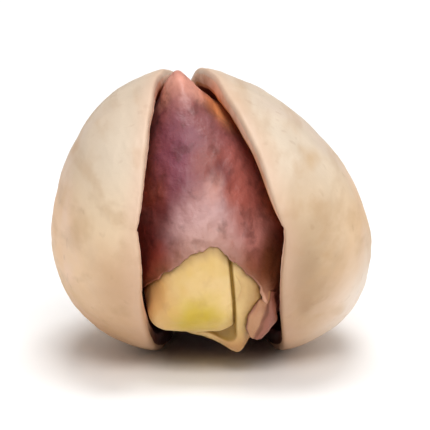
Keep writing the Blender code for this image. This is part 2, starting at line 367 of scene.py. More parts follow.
def shell_mesh():
    """Both valves in one closed mesh. Behind the end of the split their edges meet halfway and the
    faces between them are left out. What would reach below the table is pressed flat on it."""
    (left, left_lining, left_near), (right, right_lining, right_near) = valve(-1), valve(1)
    rows, columns = left.shape[:2]
    psi = np.linspace(0, np.pi, SHELL_ROWS)
    outside = slice(0, VALVE_COLUMNS)
    lower_edge = slice(outside.stop, outside.stop + EDGE_COLUMNS)
    inside = slice(lower_edge.stop, lower_edge.stop + VALVE_COLUMNS)
    upper_edge = slice(inside.stop, columns)

    under = np.arange(lower_edge.start - 1, lower_edge.stop + 1)
    top = np.r_[0, np.arange(upper_edge.start - 1, columns)]
    for around_edge, split_end in ((under, UNDER_SPLIT_END), (top, TOP_SPLIT_END)):
        joined = np.ix_(np.flatnonzero(psi >= split_end - ANGLE_MARGIN), around_edge)
        middle = (left[joined] + right[joined]) / 2
        left[joined], right[joined] = middle, middle
    for places in (left, right):
        places[0, outside] = places[0, outside.start]
        places[0, inside] = places[0, inside.start]
        places[0, upper_edge] = places[0, lower_edge][::-1]
    for surface in (outside, inside):
        end = (left[-1, surface].mean(axis=0) + right[-1, surface].mean(axis=0)) / 2
        left[-1, surface], right[-1, surface] = end, end

    row_psi, column = psi[:-1, None], np.arange(columns)[None]
    under_shut = (column >= under[0]) & (column < under[-1]) & (row_psi >= UNDER_SPLIT_END - ANGLE_MARGIN)
    top_shut = (column >= top[1]) & (row_psi >= TOP_SPLIT_END - ANGLE_MARGIN)
    kept = ~(under_shut | top_shut)
    faces = np.concatenate([ring_faces(rows, columns, first)[kept] for first in (0, rows * columns)])

    places = np.concatenate([left.reshape(-1, 3), right.reshape(-1, 3)])
    behind = places[:, 1] > 0
    from_scar = np.hypot(places[:, 0], places[:, 2] - SHELL_HEIGHT / 2)
    scar = smooth_step((SCAR_STAIN_RADIUS - from_scar) / SCAR_STAIN_FADE) * behind
    pit = smooth_step((PIT_STAIN_RADIUS - from_scar) / PIT_STAIN_FADE) * behind
    floor = shell_surface(psi, np.pi + 0 * psi, 1)[:, 2].min() + REST_FLAT_DEPTH
    places[:, 2] = np.maximum(places[:, 2], floor) - floor
    lining = np.concatenate([left_lining.ravel(), right_lining.ravel()])
    near = np.concatenate([left_near.ravel(), right_near.ravel()])
    values = {"lining": lining, "near_edge": near, "scar": scar, "pit": pit}
    return closed_mesh("nut_shell", places, faces, values)


def srgb(red, green, blue):
    """A colour given as it looks on a screen, 0 to 255, in the linear values that shaders use."""
    shares = np.array([red, green, blue]) / 255
    linear = np.where(shares <= 0.04045, shares / 12.92, ((shares + 0.055) / 1.055) ** 2.4)
    return (*linear.tolist(), 1.0)


def add(tree, kind, *links, **settings):
    """Adds a node. links are (input, value or another node's output); settings are its properties."""
    made = tree.nodes.new("ShaderNode" + kind)
    for name, value in settings.items():
        setattr(made, name, value)
    for where, value in links:
        if isinstance(value, bpy.types.NodeSocket):
            tree.links.new(value, made.inputs[where])
        else:
            made.inputs[where].default_value = value
    return made


def times(tree, first, second):
    """The product of two values."""
    return add(tree, "Math", (0, first), (1, second), operation="MULTIPLY").outputs[0]


def plus(tree, first, second):
    """The sum of two values."""
    return add(tree, "Math", (0, first), (1, second), operation="ADD").outputs[0]


def vector(tree, operation, first, second):
    """A vector worked out from two others, number by number."""
    return add(tree, "VectorMath", (0, first), (1, second), operation=operation).outputs[0]


def between(tree, value, low, high):
    """A mask that rises smoothly from 0 at low to 1 at high."""
    limits = (("From Min", low), ("From Max", high))
    return add(tree, "MapRange", ("Value", value), *limits, interpolation_type="SMOOTHSTEP").outputs[0]


def mask_group(name, inputs):
    """An empty node group that gives a mask. inputs are rows of a name, a kind and a starting value."""
    group = bpy.data.node_groups.new(name, "ShaderNodeTree")
    for label, kind, start in inputs:
        socket = group.interface.new_socket(label, in_out="INPUT", socket_type="NodeSocket" + kind)
        socket.default_value = start
    group.interface.new_socket("Mask", in_out="OUTPUT", socket_type="NodeSocketFloat")
    taken = group.nodes.new("NodeGroupInput").outputs
    given = group.nodes.new("NodeGroupOutput").inputs
    return group, taken, given


def blotches_group():
    """Soft random patches of a given size, which can be drawn out along an axis, as a mask: noise at
    the place times the stretch, cut off smoothly between low and high."""
    inputs = (
        ("Size", "Float", 0.004),
        ("Stretch", "Vector", (1.0, 1.0, 1.0)),
        ("Shift", "Vector", (0.0, 0.0, 0.0)),
        ("Detail", "Float", 3.0),
        ("Low", "Float", 0.4),
        ("High", "Float", 0.6),
    )
    group, taken, given = mask_group("Blotches", inputs)
    place = add(group, "TexCoord").outputs["Object"]
    moved = vector(group, "ADD", place, taken["Shift"])
    drawn = vector(group, "MULTIPLY", moved, taken["Stretch"])
    scale = add(group, "Math", (0, 1.0), (1, taken["Size"]), operation="DIVIDE").outputs[0]
    noise = add(group, "TexNoise", ("Vector", drawn), ("Scale", scale), ("Detail", taken["Detail"]))
    mask = between(group, noise.outputs["Fac"], taken["Low"], taken["High"])
    group.links.new(mask, given["Mask"])
    return group


def spot_group():
    """One soft patch with an uneven outline round a given place, as a mask: the place, moved about by
    noise, gives a distance from the centre in shares of the reach, and the mask fades with it."""
    inputs = (
        ("Centre", "Vector", (0.0, 0.0, 0.0)),
        ("Reach", "Vector", (0.002, 0.002, 0.002)),
        ("Wander", "Float", 0.0012),
    )
    group, taken, given = mask_group("Spot", inputs)
    place = add(group, "TexCoord").outputs["Object"]
    noise = add(group, "TexNoise", ("Vector", place), ("Scale", SPOT_OUTLINE_SCALE), ("Detail", 3.0))
    centred = vector(group, "SUBTRACT", noise.outputs["Color"], (0.5, 0.5, 0.5))
    wander = add(group, "VectorMath", (0, centred), ("Scale", taken["Wander"]), operation="SCALE")
    moved = vector(group, "ADD", place, wander.outputs[0])
    offset = vector(group, "SUBTRACT", moved, taken["Centre"])
    shares = vector(group, "DIVIDE", offset, taken["Reach"])
    far = add(group, "VectorMath", (0, shares), operation="LENGTH").outputs["Value"]
    group.links.new(between(group, far, 1.0, SPOT_FULL_WITHIN), given["Mask"])
    return group


BLOTCHES = blotches_group()
SPOT = spot_group()


def placed(tree, group, values):
    """Puts a node group in a material with its own values, and gives its mask."""
    made = add(tree, "Group", node_tree=group)
    for name, value in values.items():
        made.inputs[name].default_value = value
    return made.outputs["Mask"]


def blotches(tree, size, low, high, stretch=(1, 1, 1), shift=0.0, detail=3.0):
    """The mask of random patches; a larger gap between low and high makes their outlines softer."""
    values = {"Size": size, "Stretch": stretch, "Shift": (shift, shift, shift)}
    return placed(tree, BLOTCHES, {**values, "Low": low, "High": high, "Detail": detail})


def spot(tree, centre, reach, wander=0.0012):
    """The mask of one soft patch; its outline wanders by up to half of wander."""
    return placed(tree, SPOT, {"Centre": centre, "Reach": reach, "Wander": wander})


def tint(tree, base, colour, mask):
    """Lays a colour over base where the mask says. Either is a node's output, or three numbers for
    how it looks on a screen."""
    base, colour = [srgb(*given) if isinstance(given, tuple) else given for given in (base, colour)]
    return add(tree, "Mix", (0, mask), (6, base), (7, colour), data_type="RGBA").outputs[2]


def layered(tree, colour, rows):
    """Lays tints over a colour in turn, each at its strength through the mask of its patch or blotches."""
    for shade, strength, *spread in rows:
        mask = spot(tree, *spread) if isinstance(spread[0], tuple) else blotches(tree, *spread)
        colour = tint(tree, colour, shade, times(tree, mask, strength))
    return colour


def by_height(tree, colour, shade, strength, none_at, all_at):
    """Lays a tint over a colour through a mask that rises between two heights above the table."""
    height = add(tree, "SeparateXYZ", (0, add(tree, "TexCoord").outputs["Object"])).outputs["Z"]
    return tint(tree, colour, shade, times(tree, between(tree, height, none_at, all_at), strength))


def stored(tree, name):
    """A value that the mesh carries on its places."""
    return add(tree, "Attribute", attribute_name=name).outputs["Fac"]


def new_material(name):
    """An empty material, with its node tree and its shader."""
    material = bpy.data.materials.new(name)
    material.use_nodes = True
    return material, material.node_tree, material.node_tree.nodes["Principled BSDF"]


def bump(tree, shader, height, distance, strength):
    """Small relief on a shader, from a height mask and how deep it is in metres."""
    relief = add(tree, "Bump", ("Height", height), ("Distance", distance), ("Strength", strength))
    tree.links.new(relief.outputs[0], shader.inputs["Normal"])


def shell_material():
    """Cream outside with tan patches, stains and specks, brown in the scar, paler on the split's
    edge, and orange brown and dull on the lining, with a fine lengthwise grain and pores. Painted shade
    lies low on the flanks, on the top, beside the mouth and near the table; painted light lies on the far
    left, the low right and the lining near the edge."""
    material, tree, shader = new_material("nut_shell")
    near_edge = stored(tree, "near_edge")
    lining = stored(tree, "lining")
    outside = tint(tree, CREAM, TAN, blotches(tree, 0.0075, 0.40, 0.68, (1, 0.6, 1)))
    # Tan towards the underside: painted shade
    outside = by_height(tree, outside, *LOW_FLANK_PAINTED_SHADE)
    # Painted shade low on the left, painted light on the far left and low right, and a faint blush
    outside = layered(tree, outside, FLANK_BLUSH_AND_PAINTED_LIGHT)
    # A greyer top: painted shade
    outside = by_height(tree, outside, *HIGH_FLANK_PAINTED_SHADE)
    # Painted shade beside the mouth, then stains, streaks and specks
    outside = layered(tree, outside, STAINS_AND_PAINTED_SHADE)
    outside = tint(tree, outside, BESIDE_EDGE, times(tree, near_edge, 0.55))
    scar = tint(tree, SCAR_PALE, SCAR_BROWN, blotches(tree, 0.0005, 0.35, 0.65, shift=0.01))
    outside = tint(tree, outside, scar, stored(tree, "scar"))
    outside = tint(tree, outside, PIT_BROWN, stored(tree, "pit"))
    edge = tint(tree, EDGE_PALE, EDGE_TAN, blotches(tree, 0.0012, 0.4, 0.7, shift=0.04))
    # The split's edges darken near the table: painted shade
    edge = by_height(tree, edge, *EDGE_PAINTED_SHADE)
    inside = blotches(tree, 0.0035, 0.35, 0.65, (1, 0.4, 1), 0.06)
    inside = tint(tree, LINING_ORANGE, LINING_BROWN, inside)
    # Paler towards the split edge: painted light
    inside = tint(tree, inside, LINING_PAINTED_LIGHT_AT_EDGE, times(tree, near_edge, 0.8))
    # The lining darkens near the table: painted shade
    inside = by_height(tree, inside, *LINING_PAINTED_SHADE)
    colour = tint(tree, outside, edge, between(tree, lining, 0.02, 0.16))
    colour = tint(tree, colour, inside, between(tree, lining, 0.84, 0.98))
    tree.links.new(colour, shader.inputs["Base Color"])
    patchy = blotches(tree, 0.0016, 0.3, 0.7, shift=0.09)
    gloss = add(tree, "MapRange", ("Value", patchy), ("To Min", 0.42), ("To Max", 0.6)).outputs[0]
    tree.links.new(plus(tree, gloss, times(tree, lining, 0.3)), shader.inputs["Roughness"])
    shader.inputs["Specular IOR Level"].default_value = 0.42
    grain = times(tree, blotches(tree, 0.0009, 0.3, 0.7, SHELL_GRAIN, detail=5.0), 0.6)
    pores = times(tree, blotches(tree, 0.00028, 0.25, 0.75, detail=4.0), 0.4)
    bump(tree, shader, plus(tree, grain, pores), 0.00002, 0.7)
    return material


shell = shell_mesh()
shell.data.materials.append(shell_material())
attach(shell, "root")
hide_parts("shell")


# Kernel
# The seed itself: two leaves of waxy flesh, grown together at the back and parted by a cleft that is
# open at the tip, where the skin has worn away. The flesh is yellow where it was roasted bare, with
# green showing through, and olive brown in the cleft, which is painted shade.

KERNEL_FRONT = -0.0084
KERNEL_BACK = 0.0068
KERNEL_TOP = 0.0112
KERNEL_BOTTOM = 0.00085
KERNEL_HALF_WIDTH = 0.0042
KERNEL_MIDDLE = 0.0058
KERNEL_HEART = (0.0, -0.0015, 0.0052)
KERNEL_TIP_DROP = 0.0014
KERNEL_TIP_SIDE = -0.0004
KERNEL_TIP_SPREAD = np.radians(48)
BLUNT_SIDES = 0.28
BLUNT_UNDERSIDE = 0.35
BLUNT_SPREAD = np.radians(80)

CREST = 0.0018
CREST_WIDTH_LEFT = 0.00115
CREST_WIDTH_RIGHT = 0.00075
CREST_SIDE = -0.00034
CREST_AT = np.radians(81)
CREST_LENGTH = np.radians(34)
CREST_WIDENS = 1.5
CREST_WIDENS_OVER = np.radians(35)

# Where the surface swells: how far, the centre, and its widths along X, Y and Z
LOWER_LEFT_SWELL = (0.00068, (-0.0026, -0.0062, 0.0027), (0.0010, 0.0022, 0.0013))
UNDERSIDE_SWELL = (0.00010, (-0.0006, -0.0062, 0.0018), (0.0014, 0.0022, 0.0012))
LEFT_FLANK_SWELL = 0.00080
LEFT_FLANK_HEIGHT = 0.0024
LEFT_FLANK_HEIGHT_SPREAD = 0.0013
LEFT_FLANK_Y = -0.0070
LEFT_FLANK_Y_SPREAD = 0.0019
LEFT_FLANK_FROM = -0.0006
LEFT_FLANK_RISE = 0.0015

CLEFT_SIDE = 0.0005
CLEFT_DEPTH = 0.00019
CLEFT_HALF_WIDTH = 0.00007
CLEFT_LIP = 0.00014
CLEFT_LIP_WIDTH = 0.00034
CLEFT_SHADE_WIDTH = 0.00012
CLEFT_TURNS_LEFT = 0.0026
CLEFT_TURNS_AT = np.radians((30, 55))
CLEFT_ENDS = np.radians(110)
CLEFT_FADES_OVER = np.radians(30)
TIP_TURNS_TO_CLEFT = np.radians(12)

FLESH_INSET = 0.00006
FLESH_INSET_UNDER_SKIN = 0.00032
FLESH_SINKS_OVER = np.radians(7)
FLESH_SINKS_EARLY_BELOW = 0.45
RIGHT_LEAF_DROP = 0.00112
RIGHT_LEAF_DROP_FROM_CLEFT = 0.00028
RIGHT_LEAF_DROP_LEFT = 0.0009
RIGHT_LEAF_DROP_RIGHT = 0.00050
RIGHT_LEAF_DROP_CURVE = 1.7
RIGHT_LEAF_DROP_AT = np.radians(42)
RIGHT_LEAF_DROP_SPREAD = np.radians(20)
LEAF_STEP = 0.00008
# Unevenness of the bare flesh: its height, longest wave, squeeze along Y and seed
FLESH_RELIEF = ((0.00004, 0.0021, 1.0, 21), (0.000012, 0.0007, 1.0, 22))
RELIEF_FADES_OVER = np.radians(12)
SKIN_STAIN_WIDTH = np.radians(5)

BARE_ABOVE = np.radians(14.5)
BARE_BELOW = np.radians(76)
BARE_CURVE = 3.0
BARE_RIGHT = np.radians(-1.5)
BARE_LEFT = np.radians(19)
BARE_LEFT_AT = np.radians(-122)
BARE_LEFT_SPREAD = np.radians(32)
TONGUE = np.radians(7)
TONGUE_AT = np.radians(117)
TONGUE_SPREAD = np.radians(18)
# Each wave round the worn edge: how many there are, how high as a share, and where they start
BARE_OUTLINE = ((5, 0.03, 0.6), (8, 0.025, 0.0), (13, 0.012, 1.0), (22, 0.010, 2.0), (37, 0.006, 0.3))

KERNEL_ROWS = 150
QUARTER_COLUMNS = 44
CROWDED_TO_TIP = 1.7
CROWDED_TO_CLEFT = 1.8

FLESH_CREAM = (232, 198, 136)
FLESH_YELLOW = (224, 186, 104)
BESIDE_SKIN = (150, 100, 56)
CLEFT_PAINTED_SHADE = (160, 124, 52)
FLESH_TINTS = (
    ((208, 178, 50), 1.0, (-0.0010, -0.0072, 0.0031), (0.0020, 0.0040, 0.0014)),  # green, in the middle
    ((224, 174, 120), 0.7, (-0.0026, -0.0065, 0.0036), (0.0012, 0.0030, 0.0022)),  # peach, on the left
    ((176, 132, 74), 0.9, (0.0019, -0.0072, 0.0038), (0.0015, 0.0040, 0.0032)),  # brown, on the right
    ((196, 142, 86), 0.9, (0.0014, -0.0065, 0.0015), (0.0022, 0.0030, 0.0011)),  # brown, underneath
    ((184, 136, 80), 0.3, 0.0009, 0.56, 0.80, (1, 1, 1), 0.02),  # small brown blotches
)


def blunted(psi, bluntness):
    """The kernel's reach at psi, as a share: a sine, to a power that makes it blunter at the tip."""
    return np.clip(np.sin(psi), 0, 1) ** (1 - bluntness * bell(psi, BLUNT_SPREAD))


def swell(x, y, z, height, centre, widths):
    """A smooth hump in space: its height times one bell for each of X, Y and Z."""
    for value, middle, width in zip((x, y, z), centre, widths):
        height = height * bell(value - middle, width)
    return height


def kernel_surface(psi, around, inset, shift=0.0):
    """The kernel's outside: blunt at the tip, sloping up from it to a crest that stands in the split.
    inset moves it inwards, and shift moves it to the side."""
    front, back = KERNEL_FRONT + inset, KERNEL_BACK - inset
    y = (front + back) / 2 - (back - front) / 2 * np.cos(psi)
    tip = bell(psi, KERNEL_TIP_SPREAD)
    middle = KERNEL_MIDDLE - KERNEL_TIP_DROP * tip
    x = KERNEL_TIP_SIDE * tip + shift
    x = x + (KERNEL_HALF_WIDTH - inset) * blunted(psi, BLUNT_SIDES) * np.sin(around)
    crest = (CREST - 2 * inset) * bell(psi - CREST_AT, CREST_LENGTH) * np.cos(around) ** 2
    width = np.where(x < CREST_SIDE, CREST_WIDTH_LEFT, CREST_WIDTH_RIGHT)
    width = width * (1 + CREST_WIDENS * smooth_step((CREST_AT - psi) / CREST_WIDENS_OVER))
    above = middle + (KERNEL_TOP - inset - middle) * np.sin(psi) * np.cos(around)
    above = above + crest / (1 + ((x - CREST_SIDE) / width) ** 2)
    below = (middle - KERNEL_BOTTOM - inset) * blunted(psi, BLUNT_UNDERSIDE) * np.cos(around)
    z = np.where(np.cos(around) > 0, above, middle + below)
    z = z - swell(x, y, z, *LOWER_LEFT_SWELL) - swell(x, y, z, *UNDERSIDE_SWELL)
    flank = smooth_step((LEFT_FLANK_FROM - x) / LEFT_FLANK_RISE)
    flank = flank * bell(y - LEFT_FLANK_Y, LEFT_FLANK_Y_SPREAD)
    flank = flank * bell(z - LEFT_FLANK_HEIGHT, LEFT_FLANK_HEIGHT_SPREAD)
    x = x - LEFT_FLANK_SWELL * flank
    return np.stack([x + lean(z), y + 0 * x, z], axis=-1)


def turned(around, at):
    """The angle from at to around, the short way round."""
    return np.arctan2(np.sin(around - at), np.cos(around - at))


def bare_edge(around):
    """How far from the tip, as an angle, the worn edge of the skin lies: near above, far below, further
    at the lower left, with waves round it and a tongue that reaches forward at the lower right."""
    down = 0.5 - 0.5 * np.cos(around)
    edge = BARE_ABOVE + (BARE_BELOW - BARE_ABOVE) * down**BARE_CURVE
    edge = edge + BARE_RIGHT * np.maximum(np.sin(around), 0)
    edge = edge + BARE_LEFT * bell(turned(around, BARE_LEFT_AT), BARE_LEFT_SPREAD)
    edge = edge * ragged(around, BARE_OUTLINE)
    return edge - TONGUE * bell(turned(around, TONGUE_AT), TONGUE_SPREAD)


def flesh_mesh():
    """The two seed leaves. Columns run along the cleft on top and underneath, and crowd up to it;
    there the surface turns in, straight towards the kernel's middle. Underneath, the cleft runs off
    to the left, and the right leaf hangs lower."""
    quarter = np.linspace(0, 1, QUARTER_COLUMNS) ** CROWDED_TO_CLEFT * np.pi / 2
    half = np.concatenate([quarter, np.pi - quarter[-2::-1]])
    turn = np.concatenate([half, np.pi + half[1:-1]])
    rows = np.linspace(0, 1, KERNEL_ROWS) ** CROWDED_TO_TIP * np.pi
    psi, turn = np.meshgrid(rows, turn, indexing="ij")

    start, end = CLEFT_TURNS_AT
    turns_left = CLEFT_TURNS_LEFT * smooth_step((psi - start) / (end - start)) * (np.cos(turn) < 0)
    cleft_side = CLEFT_SIDE - turns_left
    shift = (CLEFT_SIDE - KERNEL_TIP_SIDE) * smooth_step(1 - psi / TIP_TURNS_TO_CLEFT)
    reach = np.maximum((KERNEL_HALF_WIDTH - FLESH_INSET) * blunted(psi, BLUNT_SIDES), 1e-6)
    aside = (cleft_side - KERNEL_TIP_SIDE * bell(psi, KERNEL_TIP_SPREAD) - shift) / reach
    around = turn + np.arcsin(np.clip(aside, -0.9, 0.9)) * np.cos(turn)

    edge = bare_edge(around)
    early = FLESH_SINKS_EARLY_BELOW * smooth_step(-np.cos(around))
    covered = smooth_step((psi - edge) / FLESH_SINKS_OVER + early)
    inset = FLESH_INSET + (FLESH_INSET_UNDER_SKIN - FLESH_INSET) * covered
    places = kernel_surface(psi, around, inset, shift)
    from_middle = places[..., 0] - lean(places[..., 2])
    from_cleft = from_middle - cleft_side
    from_cleft = np.where(np.abs(from_cleft) < 1e-7, 0.0, from_cleft)

    bare = smooth_step((edge - psi) / RELIEF_FADES_OVER)
    low = np.maximum(-np.cos(around), 0.0) ** 2 * bell(psi - RIGHT_LEAF_DROP_AT, RIGHT_LEAF_DROP_SPREAD)
    beside = from_middle - CLEFT_SIDE - RIGHT_LEAF_DROP_FROM_CLEFT
    width = np.where(beside < 0, RIGHT_LEAF_DROP_LEFT, RIGHT_LEAF_DROP_RIGHT)
    right = np.exp(-np.abs(beside / width) ** RIGHT_LEAF_DROP_CURVE)
    right = right * smooth_step(from_cleft / LEAF_STEP + 0.5)
    places[..., 2] -= RIGHT_LEAF_DROP * low * bare * right

    depth = CLEFT_DEPTH * bell(from_cleft, CLEFT_HALF_WIDTH) + CLEFT_LIP * bell(from_cleft, CLEFT_LIP_WIDTH)
    depth = depth * smooth_step((CLEFT_ENDS - psi) / CLEFT_FADES_OVER) - uneven(places, FLESH_RELIEF) * bare
    inward = np.array(KERNEL_HEART) - places
    inward[..., 0] = 0
    inward /= np.linalg.norm(inward, axis=-1, keepdims=True) + 1e-9
    places = places + inward * depth[..., None]
    places[0], places[-1] = places[0, 0], places[-1, 0]
    cleft = bell(from_cleft, CLEFT_SHADE_WIDTH)
    near_skin = smooth_step(1 + (psi - edge) / SKIN_STAIN_WIDTH)
    faces = ring_faces(*places.shape[:2], 0)
    return closed_mesh("kernel_flesh", places, faces, {"cleft": cleft, "near_skin": near_skin})


def flesh_material():
    """Waxy yellow with green, peach and brown patches, browner beside the skin, with painted shade in
    the cleft; a little light passes through it."""
    material, tree, shader = new_material("kernel_flesh")
    colour = tint(tree, FLESH_CREAM, FLESH_YELLOW, blotches(tree, 0.0030, 0.42, 0.66, shift=0.012))
    colour = layered(tree, colour, FLESH_TINTS)
    colour = tint(tree, colour, BESIDE_SKIN, times(tree, stored(tree, "near_skin"), 0.55))
    # Painted shade in the cleft
    colour = tint(tree, colour, CLEFT_PAINTED_SHADE, between(tree, stored(tree, "cleft"), 0.2, 1.0))
    tree.links.new(colour, shader.inputs["Base Color"])
    shader.inputs["Roughness"].default_value = 0.42
    shader.inputs["Subsurface Weight"].default_value = 0.12
    shader.inputs["Subsurface Radius"].default_value = (0.0012, 0.0008, 0.0003)
    shader.inputs["Subsurface Scale"].default_value = 1.0
    bump(tree, shader, blotches(tree, 0.0005, 0.3, 0.7, detail=4.0), 0.00003, 0.5)
    return material


flesh = flesh_mesh()
flesh.data.materials.append(flesh_material())
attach(flesh, "root")
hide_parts("kernel")


# Kernel skin
# The papery coat of the seed, purple brown, which clings to the flesh in lengthwise wrinkles. It has
# worn away round the tip to a ragged edge, and a tongue of it stands off beside the bare flesh.

SKIN = 0.00009
TONGUE_LIFT = 0.00010
EDGE_LIFT = 0.00006
EDGE_LIFT_UNEVEN = 0.8
EDGE_LIFT_WAVE = 0.0014
LIFT_WIDTH = np.radians(11)
CREASE = 0.00005
CREASE_FROM_EDGE = np.radians(6.5)
CREASE_WIDTH = np.radians(1.6)
CREASE_AROUND = np.radians(14)
CREASE_SPREAD = np.radians(30)
CREASE_UNEVEN = 0.6
CREASE_WAVE = 0.0018
# Wrinkles: their height, longest wave, squeeze along Y and seed
SKIN_RELIEF = ((0.00005, 0.0040, 1.0, 31), (0.000016, 0.0010, 0.16, 32), (0.000006, 0.0005, 1.0, 33))
SMOOTH_AT_BACK = np.radians(10)
SMOOTH_AT_EDGE = np.radians(12)
SKIN_ROWS = 150
SKIN_COLUMNS = 260
CROWDED_TO_EDGE = 1.5

SKIN_PURPLE = (136, 78, 80)
SKIN_RUSSET = (146, 74, 62)
WORN_EDGE = (160, 108, 74)
TONGUE_PALE = (216, 162, 132)
SKIN_GRAIN = (1.0, 0.2, 1.0)
SKIN_TINTS_AND_PAINTED_LIGHT = (
    ((144, 68, 46), 0.80, (-0.0031, -0.0050, 0.0086), (0.0014, 0.0050, 0.0042)),  # upper left flank
    ((128, 66, 86), 0.90, (-0.0017, -0.0042, 0.0092), (0.0016, 0.0050, 0.0038)),  # purple, upper left
    ((186, 102, 88), 0.80, (0.0016, -0.0045, 0.0084), (0.0023, 0.0060, 0.0038)),  # rose, upper right
    # The next row, red on the lower left flank where it turns into shade, is painted shade
    ((168, 64, 32), 0.90, (-0.0036, -0.0060, 0.0055), (0.0019, 0.0040, 0.0045)),  # red, lower left
    ((206, 118, 84), 0.75, (0.0029, -0.0056, 0.0074), (0.0013, 0.0040, 0.0038)),  # right flank
    # The next row lightens the lower right flank beside the gap: painted light
    ((196, 120, 62), 0.80, (0.0037, -0.0060, 0.0050), (0.0011, 0.0040, 0.0026)),  # tan, lower right
    ((96, 44, 50), 0.65, 0.0024, 0.46, 0.66, (1, 0.6, 1), 0.04),  # dark blotches
    # The next row, pale above the flesh where the front faces up, is a painted highlight
    ((230, 184, 178), 0.72, (-0.0006, -0.0078, 0.0068), (0.0024, 0.0040, 0.0025)),  # above the flesh
    # The next row is the crest's pink, partly its own colour and partly a painted highlight
    ((255, 182, 158), 0.82, (-0.0013, -0.0018, 0.0119), (0.0015, 0.0028, 0.0020)),  # pink crest
    ((172, 108, 98), 0.20, (-0.0003, -0.0044, 0.0096), (0.0013, 0.0030, 0.0022)),  # below the crest
    ((186, 132, 128), 0.45, 0.0030, 0.56, 0.76, (1, 0.7, 1), 0.015),  # pale blotches
    # The next row is the shoulder's orange brown, partly its own colour and partly painted light on its
    # shade
    ((240, 156, 98), 0.95, (0.0006, -0.0018, 0.0112), (0.0017, 0.0030, 0.0019)),  # orange, by the crest
    # The next two rows are painted highlights, pale pink glints on the front and near the crest, not rubbed
    # skin
    ((228, 170, 156), 0.85, (-0.0002, -0.0060, 0.0083), (0.0008, 0.0020, 0.0014), 0.0006),  # rubbed
    ((232, 174, 176), 0.60, (-0.0012, -0.0012, 0.0114), (0.0007, 0.0022, 0.0008), 0.0006),  # rubbed
    ((208, 140, 130), 0.60, (0.0018, -0.0068, 0.0066), (0.0015, 0.0030, 0.0015)),  # right of the middle
    ((86, 38, 32), 0.45, 0.0007, 0.52, 0.70, SKIN_GRAIN, 0.03),  # dark veins
)
# Brown on the skin's right flank beside the flesh, where it lies in shade: painted shade
PAINTED_SHADE_BESIDE_FLESH = (((122, 68, 34), 0.80, (0.0025, -0.0070, 0.0050), (0.0016, 0.0030, 0.0021)),)


def skin_mesh():
    """The kernel's surface from the worn edge back, wrinkled, with a thin wall. It lifts off the flesh
    towards the edge, and most at the tongue."""
    turn = np.linspace(0, 2 * np.pi, SKIN_COLUMNS, endpoint=False)
    share, around = np.meshgrid(np.linspace(0, 1, SKIN_ROWS) ** CROWDED_TO_EDGE, turn, indexing="ij")
    edge = bare_edge(around)
    psi = edge + (np.pi - edge) * share
    smooth = kernel_surface(psi, around, 0.0)
    wrapped = np.concatenate([smooth[:, -1:], smooth, smooth[:, :1]], axis=1)
    normals = outward_normals(wrapped, np.array([0.0, -0.001, 0.006]))[:, 1:-1]
    normals[-1] = (0, 1, 0)

    relief = uneven(smooth, SKIN_RELIEF)
    relief *= smooth_step((np.pi - psi) / SMOOTH_AT_BACK) * smooth_step((psi - edge) / SMOOTH_AT_EDGE)
    crease = bell(psi - edge - CREASE_FROM_EDGE, CREASE_WIDTH) * bell(around - CREASE_AROUND, CREASE_SPREAD)
    relief -= CREASE * crease * (1 + CREASE_UNEVEN * waves(smooth, CREASE_WAVE, seed=35))
    tongue = bell(turned(around, TONGUE_AT), TONGUE_SPREAD)
    near = np.clip(1 - (psi - edge) / LIFT_WIDTH, 0, 1)
    edge_lift = EDGE_LIFT * (1 + EDGE_LIFT_UNEVEN * waves(smooth, EDGE_LIFT_WAVE, seed=34))
    lift = near**2 * (edge_lift + TONGUE_LIFT * tongue)
    wall = SKIN * (1 - 0.5 * near)
    outer = smooth + normals * (relief + lift)[..., None]
    inner = outer - normals * wall[..., None]

    places = np.concatenate([outer[::-1], inner])
    faces = ring_faces(2 * SKIN_ROWS, SKIN_COLUMNS, 0)
    values = {"near_edge": near, "tongue": tongue}
    values = {name: np.concatenate([value[::-1], value]) for name, value in values.items()}
    return closed_mesh("seed_coat", places, faces, values)


def skin_material():
    """Purple brown with red, rose and tan patches and dark veins, paler on the worn edge and the tongue,
    in fine lengthwise wrinkles. Painted highlights lie above the flesh, on the crest and on the front,
    painted light on the right flank and shoulder, and painted shade beside the flesh and low on the left."""
    material, tree, shader = new_material("seed_coat")
    near_edge = stored(tree, "near_edge")
    tongue = times(tree, near_edge, stored(tree, "tongue"))
    colour = tint(tree, SKIN_PURPLE, SKIN_RUSSET, blotches(tree, 0.0060, 0.42, 0.62))
    # Patches and veins, with painted highlights, painted light and painted shade
    colour = layered(tree, colour, SKIN_TINTS_AND_PAINTED_LIGHT)
    colour = tint(tree, colour, WORN_EDGE, times(tree, near_edge, 0.55))
    # Painted shade beside the flesh
    colour = layered(tree, colour, PAINTED_SHADE_BESIDE_FLESH)
    colour = tint(tree, colour, TONGUE_PALE, times(tree, tongue, 0.9))
    tree.links.new(colour, shader.inputs["Base Color"])
    shader.inputs["Roughness"].default_value = 0.46
    wrinkles = times(tree, blotches(tree, 0.0006, 0.3, 0.7, SKIN_GRAIN, detail=5.0), 0.7)
    crumple = times(tree, blotches(tree, 0.0003, 0.3, 0.7, detail=4.0), 0.3)
    bump(tree, shader, plus(tree, wrinkles, crumple), 0.00005, 0.8)
    return material


skin = skin_mesh()
skin.data.materials.append(skin_material())
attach(skin, "root")
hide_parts("kernel_skin")


# Curl of skin
# Beside the bare flesh, at the lower right, a strip of the skin has come away. It is folded once
# along its length and hangs from the worn edge.

